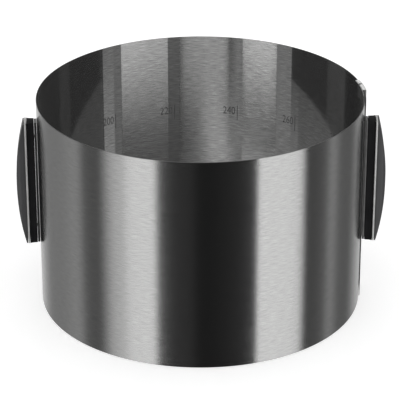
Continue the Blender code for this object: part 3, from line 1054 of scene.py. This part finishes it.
# The card on the table inside the ring, whose level changes from left to right
table_card_sides = 96
table_card_lift = 0.0002
table_card_half = 0.15
table_card_levels = [(0.0, 0.03), (0.26, 0.03), (0.36, 0.50), (0.46, 0.52),
                     (0.50, 0.18), (0.56, 0.03), (0.7, 0.02), (1.0, 0.02)]
deselect_all()
bpy.ops.mesh.primitive_circle_add(vertices=table_card_sides, radius=inner_diameter / 2 - layer_step,
                                  fill_type="NGON", location=(0, 0, table_card_lift))
inside_card = bpy.context.object
inside_card.name = "inside_card"
card_tone = bpy.data.materials.new("inside_card")
card_tone.use_nodes = True
card_nodes = card_tone.node_tree.nodes
card_link = card_tone.node_tree.links.new
card_place = card_nodes.new("ShaderNodeTexCoord")
card_parts = card_nodes.new("ShaderNodeSeparateXYZ")
card_link(card_place.outputs["Object"], card_parts.inputs["Vector"])
card_share = card_nodes.new("ShaderNodeMapRange")
card_share.inputs["From Min"].default_value = -table_card_half
card_share.inputs["From Max"].default_value = table_card_half
card_link(card_parts.outputs["X"], card_share.inputs["Value"])
card_ramp = card_nodes.new("ShaderNodeValToRGB")
fill_ramp(card_ramp, table_card_levels)
card_link(card_share.outputs["Result"], card_ramp.inputs["Fac"])
card_glow = card_nodes.new("ShaderNodeEmission")
card_link(card_ramp.outputs["Color"], card_glow.inputs["Color"])
card_link(card_glow.outputs["Emission"], card_nodes["Material Output"].inputs["Surface"])
only_in_reflections(inside_card, card_tone)


def soft_box(name, low, first_top, last_top, foot_level, level):
    """A sheet that reaches from low up to the line between two corners.

    Its level changes from foot_level at its foot to level at the higher corner.
    """
    deselect_all()
    bpy.ops.mesh.primitive_plane_add(size=1)
    card = bpy.context.object
    card.name = name
    for vertex in card.data.vertices:
        top = first_top if vertex.co.x < 0 else last_top
        vertex.co = (top.x, top.y, top.z if vertex.co.y > 0 else low)
    glow = bpy.data.materials.new(name)
    glow.use_nodes = True
    nodes = glow.node_tree.nodes
    link = glow.node_tree.links.new
    place = nodes.new("ShaderNodeTexCoord")
    split = nodes.new("ShaderNodeSeparateXYZ")
    link(place.outputs["Object"], split.inputs["Vector"])
    grading = nodes.new("ShaderNodeMapRange")
    grading.inputs["From Min"].default_value = low
    grading.inputs["From Max"].default_value = max(first_top.z, last_top.z)
    grading.inputs["To Min"].default_value = foot_level
    grading.inputs["To Max"].default_value = level
    link(split.outputs["Z"], grading.inputs["Value"])
    lamp = nodes.new("ShaderNodeEmission")
    link(grading.outputs["Result"], lamp.inputs["Strength"])
    link(lamp.outputs["Emission"], nodes["Material Output"].inputs["Surface"])
    only_in_reflections(card, glow)


box_foot = -1.0
box_first_top = Vector((0.159, -0.273, 1.2))
box_last_top = Vector((0.527, -0.227, 1.2))
box_level = 0.96
soft_box("right_box", box_foot, box_first_top, box_last_top, box_level, box_level)

card_foot = 0.002


def standing_card(name, radius, first, last, foot_level, level):
    """A card that stands on the table inside the ring, between two (degrees round from the back, height)."""
    tops = [Vector((radius * math.sin(math.radians(degrees)), radius * math.cos(math.radians(degrees)), height))
            for degrees, height in (first, last)]
    soft_box(name, card_foot, tops[0], tops[1], foot_level, level)


middle_first_top = Vector((0.038, 0.140, 0.35))
middle_last_top = Vector((0.0114, 0.101, 0.35))
middle_level = 0.20
soft_box("middle_flag", card_foot, middle_first_top, middle_last_top, middle_level, middle_level)

# Name, radius, the two upper corners, and the levels at foot and top
near_flags = 0.1455
far_flags = 0.1425
back_cards = [
    ("left_flag_outer", near_flags, (-77, band_top), (-60, band_top), 0.032, 0.032),
    ("left_flag_middle", near_flags, (-60, band_top), (-54, band_top), 0.050, 0.050),
    ("left_card_low", near_flags, (-54, 0.119), (-38.3, 0.168), 0.090, 0.070),
    ("left_flag_inner", far_flags, (-54, band_top), (-37.5, band_top), 0.032, 0.032),
    ("left_card_light", near_flags, (-37.9, band_top), (-33.3, band_top), 0.34, 0.20),
    ("left_card_dim", near_flags, (-33.3, band_top), (-30.2, band_top), 0.13, 0.19),
    ("dark_stripe_flag", near_flags, (-12.2, band_top), (-8.0, band_top), 0.045, 0.14),
    ("right_card_dim", near_flags, (28.6, band_top), (34.7, band_top), 0.225, 0.225),
    ("right_card_middle", near_flags, (34.7, 0.166), (38.0, 0.159), 0.32, 0.10),
    ("right_card_low", near_flags, (38.0, 0.159), (58, 0.115), 0.20, 0.10),
    ("right_flag_inner", far_flags, (33.8, band_top), (50, band_top), 0.034, 0.034),
    ("right_flag_middle", far_flags, (50, band_top), (62, band_top), 0.064, 0.064),
    ("right_flag_outer", near_flags, (62, band_top), (77, band_top), 0.022, 0.022),
]
for back_card in back_cards:
    standing_card(*back_card)

# Side, degrees where the row starts, degrees that each card takes, and the levels at foot and top
front_radius = 0.1350
front_height = 0.14
cards_in_row = 3
front_rows = [
    ("right", 81, 23, 0.0, 1.12),
    ("left", -93, -14, 0.0, 1.12),
    ("middle", 160, 16.5, 0.15, 0.80),
]
for number in range(cards_in_row):
    for side, row_start, card_turn, foot_level, level in front_rows:
        card_start = row_start + card_turn * number
        standing_card("front_%s_card_%d" % (side, number + 1), front_radius,
                      (card_start, front_height), (card_start + card_turn, front_height), foot_level, level)


# The camera
# It stands in front, well back and a little above, with a long lens, as the photograph was taken.

camera_distance = 1.963
camera_elevation = math.radians(25.14)
camera_lens = 189.1
camera = bpy.data.objects.new("camera", bpy.data.cameras.new("camera"))
bpy.context.scene.collection.objects.link(camera)
bpy.context.scene.camera = camera
aim = Vector((centring.x, centring.y, band_middle))
back = Vector((0, -math.cos(camera_elevation), math.sin(camera_elevation)))
camera.location = aim + back * camera_distance
camera.rotation_euler = (math.pi / 2 - camera_elevation, 0, 0)
camera.data.sensor_width = 36
camera.data.lens = camera_lens
camera.data.shift_x = -0.00175
camera.data.shift_y = -0.0145
camera.data.clip_end = 50

bpy.context.scene.view_settings.view_transform = "Standard"
